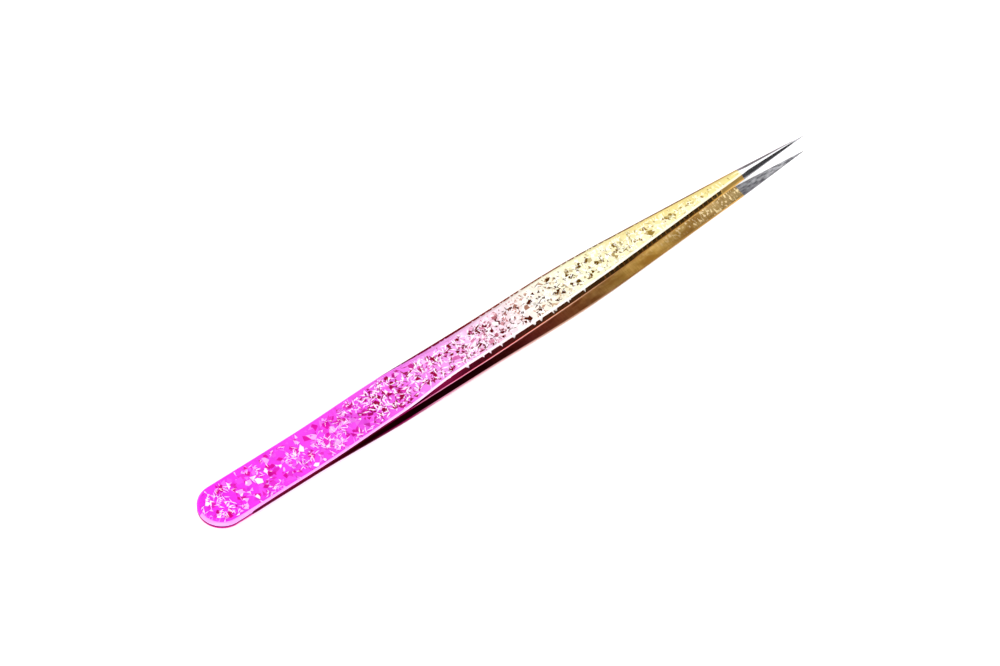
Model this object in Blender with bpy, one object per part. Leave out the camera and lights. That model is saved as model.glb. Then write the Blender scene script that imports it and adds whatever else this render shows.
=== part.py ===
"""Straight needle-point tweezers with a crackled foil coat.

Two stainless strips are spot-welded face to face at a round heel. Each strip bows away
from its partner, carries bevelled sides along the grip and ends in a bare ground needle
point. A thin relief coat covers the outer face of each strip as far as the needle.

The strip is cut at the middle of its spring zone, where the flexure turns most, so the
heel stays still and each arm turns about its own pivot.

Frame: X runs from heel to points, Y across the width, Z in the direction the jaws open.
The origin is the centre of the bottom of the whole tool.
"""
import math

import bmesh
import bpy
from mathutils import Matrix, Vector

MM = 0.001

# Overall sizes
LENGTH = 135.0 * MM
HEEL_WIDTH = 9.0 * MM
SHOULDER_WIDTH = 8.1 * MM       # where the long taper to the point begins
NECK_WIDTH = 2.46 * MM          # where the coat ends and the bare needle begins
TIP_WIDTH = 0.16 * MM

# Stations along the tool
WELDED_LENGTH = 22.0 * MM       # from the heel end to where the strips part
FLEXURE = 38.0 * MM             # from the heel end to the pivot of the spring zone
BEVEL_START = 41.0 * MM         # from the heel end to where the side bevels begin
TAPER_LENGTH = 38.0 * MM        # from the shoulder to the end of the coat
NEEDLE_LENGTH = 14.5 * MM       # bare steel past the coat

# Thickness of one arm, coat included
HEEL_THICKNESS = 0.76 * MM
GRIP_THICKNESS = 0.95 * MM
FRONT_THICKNESS = 1.02 * MM
TIP_THICKNESS = 0.18 * MM

# Bow of each arm away from the middle plane
REAR_SPREAD = 1.05 * MM         # gained just past the weld
FRONT_SPREAD = 0.82 * MM        # gained ahead of the grip
DRIFT = 0.50 * MM               # gained evenly from the weld to the tip

# Edges
EDGE_BREAK = 0.10 * MM          # polished rim round the heel
GRIP_BEVEL = 1.00 * MM          # width of the side bevel at the grip
NECK_BEVEL = 0.70 * MM          # width of the side bevel along the taper
SIDE_LAND = 0.40 * MM           # upright side left below the bevel
CREST_WIDTH = 0.10 * MM         # flat back of the needle where it ends
CREST_HASTE = 3.0               # the back has narrowed after 1/3 of the needle
TIP_LAND = 0.3                  # share of the tip's thickness left upright
LEAST_FACE = 0.35               # least share of the width left to the outer face
LEAST_CREST = 0.3               # the same along the needle
MOST_CREST = 0.8                # and the most, so that its sides always slope

# Coat
COAT_THICKNESS = 0.18 * MM
COAT_EDGE = 0.06 * MM           # how far the coat's top edge is drawn in
LEAST_COAT_TOP = 0.7            # least share of the coat's width left to its top

# Weld nuggets
NUGGET_DIAMETER = 3.2 * MM
NUGGET_DEPTH = 0.20 * MM        # depth of each nugget in each strip
NUGGET_SPACING = 7.5 * MM
NUGGET_CENTRE = 11.0 * MM       # middle of the pair, from the heel end

# Clearances
HALF_SEAM = 0.03 * MM           # from the middle plane to each strip's inner face
COAT_CLEARANCE = 0.02 * MM
NUGGET_CLEARANCE = 0.03 * MM
FLEXURE_CLEARANCE = 0.05 * MM   # each side of the cut at the flexure

# Fineness of the meshes
HEEL_ARC_STEPS = 12
HEEL_ARC_FIRST = 0.35           # share of a step where the heel's arc starts
STATION_STEP = 2.6 * MM
NUGGET_SIDES = 32
SHARP_ANGLE = 25                # degrees, past which an edge is shaded sharp

# Lengths of the smooth changes along the strip
REAR_BEND = 22.0 * MM
FRONT_BEND = 28.0 * MM
FRONT_BEND_LEAD = 24.0 * MM     # how far behind the shoulder the front bend starts
BEVEL_RUN_OUT = 14.0 * MM
SHOULDER_EASE = 1.7             # exponent of the slow narrowing towards the shoulder
SHOULDER_ROUNDING = 1.2 * MM    # how softly the narrowing turns into the taper
THICKENING_START = 40.0 * MM
THICKENING_LENGTH = 22.0 * MM
FRONT_THICKENING = 0.5          # share of the taper that reaches the front thickness

# Worked out from the sizes above
HEEL_RADIUS = HEEL_WIDTH / 2
COAT_END = LENGTH - NEEDLE_LENGTH
SHOULDER = COAT_END - TAPER_LENGTH
FRONT_BEND_START = SHOULDER - FRONT_BEND_LEAD

STEEL = ((0.62, 0.60, 0.58, 1.0), 1.0, 0.30)
HEEL_COAT = ((0.85, 0.08, 0.70, 1.0), 0.9, 0.25)
ARM_COAT = ((0.90, 0.78, 0.45, 1.0), 0.9, 0.25)
WELD = ((0.45, 0.44, 0.43, 1.0), 1.0, 0.45)


def ease(u):
    """Smooth step from 0 to 1."""
    u = min(1.0, max(0.0, u))
    return u * u * (3.0 - 2.0 * u)


def mix(a, b, u):
    """Straight blend from a to b."""
    return a + (b - a) * u


def soft_min(a, b, rounding):
    """Smaller of two sizes, rounded off where they cross."""
    near = max(0.0, 1.0 - abs(a - b) / rounding)
    return min(a, b) - rounding * near * near / 4.0


def half_gap(x):
    """Height of the strip's inner face above the middle plane."""
    past_weld = max(0.0, x - WELDED_LENGTH)
    rear = REAR_SPREAD * ease(past_weld / REAR_BEND)
    front = FRONT_SPREAD * ease((x - FRONT_BEND_START) / FRONT_BEND)
    drift = DRIFT * past_weld / (LENGTH - WELDED_LENGTH)
    return HALF_SEAM + rear + front + drift


def thickness(x):
    """Thickness of one arm with its coat, up to where the coat ends."""
    grip = ease((x - THICKENING_START) / THICKENING_LENGTH)
    front = ease((x - SHOULDER) / (FRONT_THICKENING * TAPER_LENGTH))
    body = mix(HEEL_THICKNESS, GRIP_THICKNESS, grip)
    return mix(body, FRONT_THICKNESS, front)


def half_width(x):
    """Half the width of the inner face."""
    if x < HEEL_RADIUS:
        return math.sqrt(max(0.0, x * (2.0 * HEEL_RADIUS - x)))
    if x < WELDED_LENGTH:
        return HEEL_WIDTH / 2
    if x < COAT_END:
        u = (x - WELDED_LENGTH) / (SHOULDER - WELDED_LENGTH)
        grip = mix(HEEL_WIDTH, SHOULDER_WIDTH, u ** SHOULDER_EASE)
        taper = mix(SHOULDER_WIDTH, NECK_WIDTH, (x - SHOULDER) / TAPER_LENGTH)
        return soft_min(grip, taper, SHOULDER_ROUNDING) / 2
    return mix(NECK_WIDTH, TIP_WIDTH, (x - COAT_END) / NEEDLE_LENGTH) / 2


def bevel(x):
    """How far the outer face is drawn in from the inner face on each side."""
    start = ease((x - BEVEL_START) / BEVEL_RUN_OUT)
    along = ease((x - BEVEL_START - BEVEL_RUN_OUT) / (SHOULDER - BEVEL_START - BEVEL_RUN_OUT))
    return mix(EDGE_BREAK, mix(GRIP_BEVEL, NECK_BEVEL, along), start)


def side_land(x, steel):
    """Height of the upright side; the whole side but a polished rim near the heel."""
    start = ease((x - BEVEL_START) / BEVEL_RUN_OUT)
    return mix(steel - EDGE_BREAK, SIDE_LAND, start)


def strip_section(x):
    """Right half of the steel section at x: inner corner, side top and outer corner."""
    w = half_width(x)
    z = half_gap(x)
    if x <= COAT_END:
        steel = thickness(x) - COAT_THICKNESS - COAT_CLEARANCE
        outer = max(LEAST_FACE * w, w - bevel(x))
        return (w, z), (w, z + side_land(x, steel)), (outer, z + steel)
    u = (x - COAT_END) / NEEDLE_LENGTH
    neck = thickness(COAT_END) - COAT_THICKNESS - COAT_CLEARANCE
    steel = mix(neck, TIP_THICKNESS, u)
    land = mix(SIDE_LAND, TIP_LAND * TIP_THICKNESS, u)
    neck_outer = half_width(COAT_END) - bevel(COAT_END)
    crest = mix(neck_outer, CREST_WIDTH / 2, ease(CREST_HASTE * u))
    outer = min(max(LEAST_CREST * w, crest), MOST_CREST * w)
    return (w, z), (w, z + land), (outer, z + steel)


def coat_section(x):
    """Right half of the coat's section at x: bottom corner and top corner."""
    w = half_width(x)
    outer = max(LEAST_FACE * w, w - bevel(x))
    top = half_gap(x) + thickness(x)
    drawn_in = max(LEAST_COAT_TOP * outer, outer - COAT_EDGE)
    return (outer, top - COAT_THICKNESS), (drawn_in, top)


def stations(start, end):
    """Places along the tool, close round the heel's arc and even elsewhere."""
    places = []
    if start < HEEL_RADIUS:
        for step in range(HEEL_ARC_STEPS):
            turned = max(HEEL_ARC_FIRST, step) / HEEL_ARC_STEPS
            angle = turned * math.pi / 2
            places.append(HEEL_RADIUS * (1.0 - math.cos(angle)))
        start = HEEL_RADIUS
    marks = [start, end]
    for mark in (WELDED_LENGTH, BEVEL_START, SHOULDER, COAT_END):
        if start < mark < end:
            marks.append(mark)
    marks.sort()
    for low, high in zip(marks, marks[1:]):
        count = max(1, round((high - low) / STATION_STEP))
        for step in range(count):
            places.append(mix(low, high, step / count))
    places.append(end)
    return places


def height():
    """Distance from the middle plane to the highest point of an arm."""
    reach = stations(0.0, COAT_END)
    return max(half_gap(x) + thickness(x) for x in reach)


HALF_HEIGHT = height()


def place(x, y, z, side):
    """Point in the tool's frame; side is 1 for the upper arm and -1 for the lower."""
    return Vector((x - LENGTH / 2, y, HALF_HEIGHT + side * z))


def ring(x, section, side):
    """Closed section at x, run round the same way on both sides."""
    right = [place(x, y, z, side) for y, z in section]
    left = [place(x, -y, z, side) for y, z in reversed(section)]
    return right + left


def loft(name, rings, material):
    """Solid through a row of sections, made by extruding the first one forwards."""
    bm = bmesh.new()
    first = bm.faces.new([bm.verts.new(point) for point in rings[0]])
    end = first
    previous = rings[0]
    for points in rings[1:]:
        made = bmesh.ops.extrude_face_region(bm, geom=[end])["geom"]
        if end is not first:
            bmesh.ops.delete(bm, geom=[end], context="FACES_ONLY")
        end = next(item for item in made if isinstance(item, bmesh.types.BMFace))
        moved = {}
        for vert in end.verts:
            nearest = min(range(len(previous)), key=lambda i: (vert.co - previous[i]).length)
            moved[vert] = points[nearest]
        for vert, point in moved.items():
            vert.co = point
        previous = points
    bmesh.ops.recalc_face_normals(bm, faces=bm.faces)
    return add_object(name, bm, material)


def add_object(name, bm, material):
    """Object from a bmesh, shaded smooth except over its sharp edges."""
    mesh = bpy.data.meshes.new(name)
    bm.to_mesh(mesh)
    bm.free()
    mesh.shade_smooth()
    mesh.set_sharp_from_angle(angle=math.radians(SHARP_ANGLE))
    mesh.materials.append(material)
    obj = bpy.data.objects.new(name, mesh)
    bpy.context.scene.collection.objects.link(obj)
    return obj


def make_material(name, colour, metallic, roughness):
    """Plain Principled material."""
    material = bpy.data.materials.new(name)
    material.use_nodes = True
    shader = material.node_tree.nodes["Principled BSDF"]
    shader.inputs["Base Color"].default_value = colour
    shader.inputs["Metallic"].default_value = metallic
    shader.inputs["Roughness"].default_value = roughness
    return material


def make_strip(name, start, end, side, material):
    """Length of steel strip between two stations."""
    rings = [ring(x, strip_section(x), side) for x in stations(start, end)]
    return loft(name, rings, material)


def make_coat(name, start, end, side, material):
    """Length of relief coat lying on the outer face of a strip."""
    rings = [ring(x, coat_section(x), side) for x in stations(start, end)]
    return loft(name, rings, material)


def nugget_places():
    """Centres of the two weld nuggets, rear one first."""
    half = NUGGET_SPACING / 2
    return {"rear": NUGGET_CENTRE - half, "front": NUGGET_CENTRE + half}


def nugget_disc(name, x, radius, depth, material):
    """Short disc across the middle plane."""
    bm = bmesh.new()
    centre = Matrix.Translation(place(x, 0.0, 0.0, 1))
    bmesh.ops.create_cone(bm, cap_ends=True, segments=NUGGET_SIDES, radius1=radius,
                          radius2=radius, depth=2 * depth, matrix=centre)
    return add_object(name, bm, material)


def cut_pocket(strip, cutter):
    """Recess in a strip's inner face that holds half of a nugget."""
    modifier = strip.modifiers.new("pocket_" + cutter.name, "BOOLEAN")
    modifier.operation = "DIFFERENCE"
    modifier.object = cutter


def hide_cutter(cutter):
    """Keep a cutter out of the finished tool."""
    cutter.hide_render = True
    cutter.display_type = "WIRE"


def make_pivot(name, side):
    """Empty on the axis that an arm turns about, at mid-thickness of the strip."""
    empty = bpy.data.objects.new(name, None)
    empty.location = place(FLEXURE, 0.0, half_gap(FLEXURE) + thickness(FLEXURE) / 2, side)
    bpy.context.scene.collection.objects.link(empty)
    return empty


def hang_on(pivot, obj):
    """Give a piece the pivot as its parent and its origin."""
    obj.data.transform(Matrix.Translation(-pivot.location))
    obj.parent = pivot


def build_side(word, side, materials):
    """Heel, arm and coats of one strip."""
    rear = FLEXURE - FLEXURE_CLEARANCE
    front = FLEXURE + FLEXURE_CLEARANCE
    heel = make_strip(word + "_heel", 0.0, rear, side, materials["steel"])
    make_coat(word + "_heel_coat", 0.0, rear, side, materials["heel_coat"])
    arm = make_strip(word + "_arm", front, LENGTH, side, materials["steel"])
    coat = make_coat(word + "_arm_coat", front, COAT_END, side, materials["arm_coat"])
    pivot = make_pivot(word + "_pivot", side)
    hang_on(pivot, arm)
    hang_on(pivot, coat)
    return heel


def build():
    """The whole tool."""
    for obj in list(bpy.data.objects):
        bpy.data.objects.remove(obj, do_unlink=True)
    materials = {
        "steel": make_material("steel", *STEEL),
        "heel_coat": make_material("heel_coat", *HEEL_COAT),
        "arm_coat": make_material("arm_coat", *ARM_COAT),
        "weld": make_material("weld", *WELD),
    }
    heels = [build_side("upper", 1, materials), build_side("lower", -1, materials)]
    for word, x in nugget_places().items():
        nugget_disc("spot_weld_" + word, x, NUGGET_DIAMETER / 2 - NUGGET_CLEARANCE,
                    NUGGET_DEPTH, materials["weld"])
        cutter = nugget_disc("pocket_" + word, x, NUGGET_DIAMETER / 2,
                             NUGGET_DEPTH + NUGGET_CLEARANCE, materials["weld"])
        hide_cutter(cutter)
        for heel in heels:
            cut_pocket(heel, cutter)
    bpy.context.view_layer.update()


build()
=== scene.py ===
# %% [markdown]
# # Needle-point tweezers
#
# Two stainless strips are welded face to face at a round heel. Their outer faces are covered
# with a foil that was crushed before it was laid down, so it glitters like broken ice. It runs
# from magenta at the heel through pink and cream to gold, and stops where the bare ground
# needle begins.
#
# This lesson dresses the plain working model: it models each strip in one length, crumples
# the foil as real facets, and gives plating, foil and ground steel their own finishes.

# %% Load the working model
import math
import random

import bmesh
import bpy
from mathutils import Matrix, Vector, geometry, noise


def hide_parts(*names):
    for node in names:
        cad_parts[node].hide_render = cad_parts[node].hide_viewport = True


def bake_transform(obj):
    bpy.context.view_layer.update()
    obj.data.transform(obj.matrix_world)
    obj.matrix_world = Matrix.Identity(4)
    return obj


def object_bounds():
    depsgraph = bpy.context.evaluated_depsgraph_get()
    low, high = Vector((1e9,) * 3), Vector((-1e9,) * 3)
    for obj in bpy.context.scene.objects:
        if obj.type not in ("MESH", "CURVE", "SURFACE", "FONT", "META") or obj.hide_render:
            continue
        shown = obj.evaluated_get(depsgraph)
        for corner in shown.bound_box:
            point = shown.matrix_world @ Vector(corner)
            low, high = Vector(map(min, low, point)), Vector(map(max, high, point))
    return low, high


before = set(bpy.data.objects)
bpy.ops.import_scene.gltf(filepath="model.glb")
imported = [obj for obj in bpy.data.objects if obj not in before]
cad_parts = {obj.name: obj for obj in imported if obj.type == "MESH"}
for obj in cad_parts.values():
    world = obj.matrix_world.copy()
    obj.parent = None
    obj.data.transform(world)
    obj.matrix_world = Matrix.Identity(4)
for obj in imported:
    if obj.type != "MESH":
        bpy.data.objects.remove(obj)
cad_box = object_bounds()
MM = 0.001

# %% [markdown]
# ## Where the arms run
#
# The strips are bent blanks, so one set of curves tells the whole shape: how wide the strip
# is, how far it stands off the middle plane, how thick it is and how wide its side bevel is,
# each as a function of the distance from the heel end. Working from curves, and not from
# measured points, keeps the foil, the steel and the working model in step. The overall
# length, heel width and middle plane are read from the working model itself.

# %% The driving sizes
LOW, HIGH = cad_box
LENGTH = round(HIGH.x - LOW.x, 5)
HEEL_WIDTH = round(HIGH.y - LOW.y, 5)
MIDDLE = (LOW.z + HIGH.z) / 2
HEEL_RADIUS = HEEL_WIDTH / 2
SHOULDER_WIDTH = 8.1 * MM
NECK_WIDTH = 2.46 * MM
TIP_WIDTH = 0.16 * MM
WELDED_LENGTH = 22.0 * MM
BEVEL_START = 41.0 * MM
TAPER_LENGTH = 38.0 * MM
NEEDLE_LENGTH = 14.5 * MM
FOIL_END = LENGTH - NEEDLE_LENGTH
SHOULDER = FOIL_END - TAPER_LENGTH
FOIL = 0.18 * MM
print("length %.1f mm, heel %.2f mm wide" % (LENGTH / MM, HEEL_WIDTH / MM))

# %% [markdown]
# ### Curves instead of outlines
#
# Every change along the strip is either straight or a smooth step that starts and ends
# level. Two one-line helpers give both, so each curve below reads as a sentence: what it
# changes from, what it changes to, and where. Drawing a profile by hand would also work, but
# then the foil could not ask how wide the steel is at any place it likes.

# %% Straight blend and smooth step
def ease(u):
    """Smooth step from 0 to 1."""
    u = min(1.0, max(0.0, u))
    return u * u * (3.0 - 2.0 * u)


def mix(a, b, u):
    """Straight blend from a to b."""
    return a + (b - a) * u


print("a quarter of the way along, the smooth step has risen to %.2f" % ease(0.25))

# %% Width of the strip
SHOULDER_EASE = 1.7                 # exponent of the slow narrowing up to the shoulder
SHOULDER_ROUNDING = 1.2 * MM        # how softly the narrowing turns into the taper


def half_width(x):
    """Half the width of the inner face."""
    if x < HEEL_RADIUS:
        return math.sqrt(max(0.0, x * (2.0 * HEEL_RADIUS - x)))
    if x < WELDED_LENGTH:
        return HEEL_RADIUS
    if x > FOIL_END:
        return mix(NECK_WIDTH, TIP_WIDTH, (x - FOIL_END) / NEEDLE_LENGTH) / 2
    u = (x - WELDED_LENGTH) / (SHOULDER - WELDED_LENGTH)
    grip = mix(HEEL_WIDTH, SHOULDER_WIDTH, u ** SHOULDER_EASE)
    taper = mix(SHOULDER_WIDTH, NECK_WIDTH, (x - SHOULDER) / TAPER_LENGTH)
    near = max(0.0, 1.0 - abs(grip - taper) / SHOULDER_ROUNDING)
    return (min(grip, taper) - SHOULDER_ROUNDING * near * near / 4.0) / 2


print("shoulder %.2f mm wide" % (2 * half_width(SHOULDER) / MM))

# %% Bow of the arms
HALF_SEAM = 0.03 * MM
REAR_SPREAD, REAR_BEND = 1.05 * MM, 22.0 * MM
FRONT_SPREAD, FRONT_BEND = 0.82 * MM, 28.0 * MM
FRONT_BEND_START = SHOULDER - 24.0 * MM
DRIFT = 0.50 * MM                   # gained evenly from the weld to the points


def half_gap(x):
    """Height of the inner face off the middle plane."""
    past = max(0.0, x - WELDED_LENGTH)
    rear = REAR_SPREAD * ease(past / REAR_BEND)
    front = FRONT_SPREAD * ease((x - FRONT_BEND_START) / FRONT_BEND)
    return HALF_SEAM + rear + front + DRIFT * past / (LENGTH - WELDED_LENGTH)


print("points %.2f mm apart" % (2 * half_gap(LENGTH) / MM))

# %% Thickness and side bevel
HEEL_THICK, GRIP_THICK, FRONT_THICK = 0.76 * MM, 0.95 * MM, 1.02 * MM
THICKENING_START, THICKENING_LENGTH = 40.0 * MM, 22.0 * MM
FRONT_THICKENING = TAPER_LENGTH / 2
EDGE_BREAK, GRIP_BEVEL, NECK_BEVEL = 0.10 * MM, 1.00 * MM, 0.70 * MM
BEVEL_RUN_OUT = 14.0 * MM


def thickness(x):
    """Thickness of steel and foil together."""
    grip = ease((x - THICKENING_START) / THICKENING_LENGTH)
    front = ease((x - SHOULDER) / FRONT_THICKENING)
    return mix(mix(HEEL_THICK, GRIP_THICK, grip), FRONT_THICK, front)


def bevel(x):
    """How far the outer face is drawn in on each side."""
    start = ease((x - BEVEL_START) / BEVEL_RUN_OUT)
    past = BEVEL_START + BEVEL_RUN_OUT
    along = ease((x - past) / (SHOULDER - past))
    return mix(EDGE_BREAK, mix(GRIP_BEVEL, NECK_BEVEL, along), start)


def outer_half_width(x):
    """Half the width of the outer face, as if the heel were square."""
    return max(half_width(x), HEEL_RADIUS if x < HEEL_RADIUS else 0.0) - bevel(x)


def foil_top(x):
    """Height of the foil's mean surface off the middle plane."""
    return half_gap(x) + thickness(x)


for mark in (10, 50, 80, 110):
    print("at %3d mm: %.2f wide, gap %.2f" % (mark, 2 * half_width(mark * MM) / MM,
                                              2 * half_gap(mark * MM) / MM))

# %% [markdown]
# ## The camera
#
# The tool is seen from above its heel, at about 55 degrees over the table, with a long lens
# so that its edges stay nearly parallel. A long lens is also how small tools are usually
# pictured: close up with a short one, the heel would swell.

# %% Aim the camera
VIEW_AZIMUTH = math.radians(-37.28)
VIEW_ELEVATION = math.radians(55.0)
AIM = Vector((-1.20 * MM, 0.01 * MM, MIDDLE - 0.18 * MM))
LENS = 500.0
SENSOR = 36.0
FRAME_WIDTH = 178.55 * MM           # what the frame takes in at the tool
FARTHEST_SEEN = 20.0

back = Vector((math.sin(VIEW_AZIMUTH) * math.cos(VIEW_ELEVATION),
               -math.cos(VIEW_AZIMUTH) * math.cos(VIEW_ELEVATION),
               math.sin(VIEW_ELEVATION)))
camera_data = bpy.data.cameras.new("camera")
camera_data.lens = LENS
camera_data.sensor_width = SENSOR
camera = bpy.data.objects.new("camera", camera_data)
camera.location = AIM + back * (FRAME_WIDTH * LENS / SENSOR)
camera.rotation_mode = "QUATERNION"
camera.rotation_quaternion = (-back).to_track_quat("-Z", "Y")
camera_data.clip_end = FARTHEST_SEEN
bpy.context.scene.collection.objects.link(camera)
bpy.context.scene.camera = camera
bpy.context.scene.view_settings.view_transform = "Standard"
print("camera %.2f m away" % (camera.location - AIM).length)

# %% [markdown]
# ## The steel strips
#
# Each strip is blanked, bent, and then ground along both sides, so its section is a low
# flat-topped roof standing on a thin square land. A box with bevelled edges would give the
# roof but not its changing width, so the strip is built across its stations: close together
# round the heel's arc, even along the rest, and in threes where a tick is ground across the
# bevel.

# %% Stations along the strip
ARC_STEPS = 24
STEP = 0.5 * MM
TICK_FIRST, TICK_LAST, TICK_PITCH = 87.4 * MM, 116.0 * MM, 1.12 * MM
TICK_HALF = 0.05 * MM
TICK_MARGIN = 2.0 * TICK_HALF       # plain stations stay this far from a tick

arc = [math.pi / 2 * (i + 0.5) / ARC_STEPS for i in range(ARC_STEPS)]
arc_stations = [HEEL_RADIUS * (1.0 - math.cos(a)) for a in arc]
straight_count = int((LENGTH - HEEL_RADIUS) / STEP)
straight = [HEEL_RADIUS + i * (LENGTH - HEEL_RADIUS) / straight_count
            for i in range(1, straight_count + 1)]
ticks = []
tick = TICK_FIRST
while tick < TICK_LAST:
    ticks.append(tick)
    tick += TICK_PITCH
plain = [x for x in straight if min(abs(x - t) for t in ticks) > TICK_MARGIN]
grooved = [t + side * TICK_HALF for t in ticks for side in (-1.0, 0.0, 1.0)]
stations = arc_stations + sorted(plain + grooved)
print(len(stations), "stations,", len(ticks), "ground ticks")

# %% [markdown]
# ### One outline, drawn in
#
# A ground section keeps its outline: the land, the bevel and the outer face are the same
# shape, each a little further in. So two small functions describe the whole strip: where the
# outline runs when it is drawn in by some amount, and how thick, how upright and how far
# drawn in the steel is at a station. Past the foil the outer face narrows to the crest of
# the needle.

# %% The outline, drawn in by a given inset
TIP_THICKNESS = 0.18 * MM
SIDE_LAND = 0.40 * MM
CREST_WIDTH = 0.10 * MM
CREST_RUN = NEEDLE_LENGTH / 5       # the outer face narrows to the crest over this
CREST_MOST, CREST_NECK, CREST_TIP = 0.8, 0.32, 0.12     # shares of the half width
TIP_LAND = 0.3                      # share of the tip's thickness left upright
FIT = 0.02 * MM                     # between steel and foil


def outline_point(x, inset):
    """Plan position on the +Y side of the outline at station x, drawn in by inset."""
    if x < HEEL_RADIUS:
        angle = math.acos(1.0 - x / HEEL_RADIUS)
        radius = HEEL_RADIUS - inset
        return HEEL_RADIUS - radius * math.cos(angle), radius * math.sin(angle)
    return x, half_width(x) - inset


def steel_section(x):
    """Steel thickness, side land and inset of the outer face at station x."""
    neck = FRONT_THICK - FOIL - FIT
    if x > FOIL_END:
        u = (x - FOIL_END) / NEEDLE_LENGTH
        half = half_width(x)
        steel = mix(neck, TIP_THICKNESS, u)
        crest = mix(NECK_WIDTH / 2 - NECK_BEVEL, CREST_WIDTH / 2,
                    ease((x - FOIL_END) / CREST_RUN))
        crest = min(CREST_MOST * half, max(mix(CREST_NECK, CREST_TIP, u) * half, crest))
        return steel, mix(SIDE_LAND, TIP_LAND * TIP_THICKNESS, u), half - crest
    steel = thickness(x) - FOIL - FIT
    run = ease((x - BEVEL_START) / BEVEL_RUN_OUT)
    return steel, mix(steel - EDGE_BREAK, SIDE_LAND, run), bevel(x)


for word, x in (("heel", HEEL_RADIUS), ("shoulder", SHOULDER), ("needle", FOIL_END)):
    print(word, "steel %.2f, land %.2f, drawn in %.2f mm" % tuple(
        v / MM for v in steel_section(x)))

# %% [markdown]
# ### Layers from the inner face to the outer
#
# The strip is extruded sideways through its thickness, in layers. Two thin layers round the
# inner corner and two more the corner between land and bevel, because a polished edge that
# is perfectly sharp never catches a line of light. The ticks are a shallow groove pressed
# into the bevel layers only.

# %% Where each layer runs
CORNER = 0.11 * MM
CORNER_OF_WIDTH, CORNER_OF_LAND = 0.2, 0.25     # the corner stays within these shares
CORNER_FROM = 0.2 * MM              # the heel's very end takes the corner found here
GROOVE = 0.024 * MM
SAME_PLACE = 1e-7
# Each layer: the face it lies on, how far it is drawn in and how high it stands. On the
# inner face both are shares of the corner, on the bevel shares of the bevel; a height below
# 0 lies that many corners under the top of the land.
LAYERS = (("inner", 1.0, 0.0), ("inner", 0.3, 0.3), ("inner", 0.0, 1.0),
          ("bevel", 0.0, -0.6), ("bevel", 0.06, 0.0), ("bevel", 0.2, 0.16),
          ("bevel", 0.92, 0.93), ("bevel", 1.0, 1.0))


def layer_point(x, layer):
    """Inset and height above the inner face of one layer at station x."""
    steel, land, drawn = steel_section(x)
    kind, across, up = layer
    corner = min(CORNER, CORNER_OF_WIDTH * half_width(max(x, CORNER_FROM)),
                 CORNER_OF_LAND * land)
    if kind == "inner":
        return across * corner, up * corner
    if up < 0.0:
        return 0.0, land + up * corner
    groove = 0.0
    if 0.0 < up < 1.0 and min(abs(x - t) for t in ticks) < SAME_PLACE:
        groove = GROOVE
    return across * drawn + groove, mix(land, steel, up) - groove


def place(x, inset, height, hand, side):
    """World position: hand is the +Y or -Y half, side the upper or lower strip."""
    px, py = outline_point(x, inset)
    return Vector((px - LENGTH / 2, hand * py, MIDDLE + side * (half_gap(px) + height)))


print(len(LAYERS), "layers")

# %% [markdown]
# ### Extruding the strip
#
# The inner face starts as one short edge across the heel. Extruding that edge from station
# to station lays a ribbon of quads, and extruding the ribbon as one region adds the layers.
# Extruding a region keeps the face it started from, which is right for the first layer,
# because that is the inner face, and wrong for the rest, so those are deleted. Faces are
# marked as they are made (inner, corner, top), and the finish reads those marks later. The
# marks have to be layers of the bmesh, which travel into the mesh as attributes.

# %% Lay the ribbon
HANDS = (-1.0, 1.0)


def lay_ribbon(bm, side, marker):
    """Quads over the inner face; each vertex is marked with its station and its hand."""
    x = stations[0]
    ends = [bm.verts.new(place(x, *layer_point(x, LAYERS[0]), hand, side)) for hand in HANDS]
    edge = bm.edges.new(ends)
    pairs = [tuple(ends)]
    for x in stations[1:]:
        grown = bmesh.ops.extrude_edge_only(bm, edges=[edge])["geom"]
        ends = [g for g in grown if isinstance(g, bmesh.types.BMVert)]
        ends.sort(key=lambda v: v.co.y)
        for v, hand in zip(ends, HANDS):
            v.co = place(x, *layer_point(x, LAYERS[0]), hand, side)
        edge = bm.edges.get(ends)
        pairs.append(tuple(ends))
    for i, pair in enumerate(pairs):
        for v, code in zip(pair, (2 * i, 2 * i + 1)):
            v[marker] = code


# %% Raise the layers
# Faces reaching no higher than these layers carry a painted highlight along the edge.
HIGHLIGHT_LAYERS = (1, 2, 3)         # the inner corner and the land


def build_strip(name, side):
    """One whole strip, from the round heel to the needle point."""
    bm = bmesh.new()
    marker = bm.verts.layers.int.new("station")
    inner_mark = bm.faces.layers.float.new("inner")
    top_mark = bm.faces.layers.float.new("top")
    corner_highlight_mark = bm.faces.layers.float.new("corner")
    layer_mark = bm.verts.layers.int.new("layer")
    lay_ribbon(bm, side, marker)
    region = list(bm.faces)
    for face in region:
        face[inner_mark] = 1.0
    for number, layer in enumerate(LAYERS[1:], start=1):
        grown = bmesh.ops.extrude_face_region(bm, geom=region)["geom"]
        if number > 1:
            bmesh.ops.delete(bm, geom=region, context="FACES")
        region = [g for g in grown if isinstance(g, bmesh.types.BMFace)]
        for face in region:
            face[inner_mark] = 0.0
        for v in grown:
            if isinstance(v, bmesh.types.BMVert):
                x = stations[v[marker] // 2]
                v.co = place(x, *layer_point(x, layer), HANDS[v[marker] % 2], side)
                v[layer_mark] = number
    for face in region:
        face[top_mark] = 1.0
    # Faces of the inner corner and the land are marked for a painted highlight.
    for face in bm.faces:
        highest = max(v[layer_mark] for v in face.verts)
        face[corner_highlight_mark] = 1.0 if highest in HIGHLIGHT_LAYERS else 0.0
    bmesh.ops.recalc_face_normals(bm, faces=bm.faces)
    return keep_mesh(bm, name)


# %% [markdown]
# ### Keeping and shading a piece
#
# A bmesh is only a workbench. When a shape is done it is written to a mesh, and an object
# carries it at the origin, unturned, so that its own coordinates are the tool's coordinates.
# Counting the edges that don't join exactly two faces proves that the solid is closed.
# Smooth shading with sharp edges keeps the long curves soft and the ground edges crisp.

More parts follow.
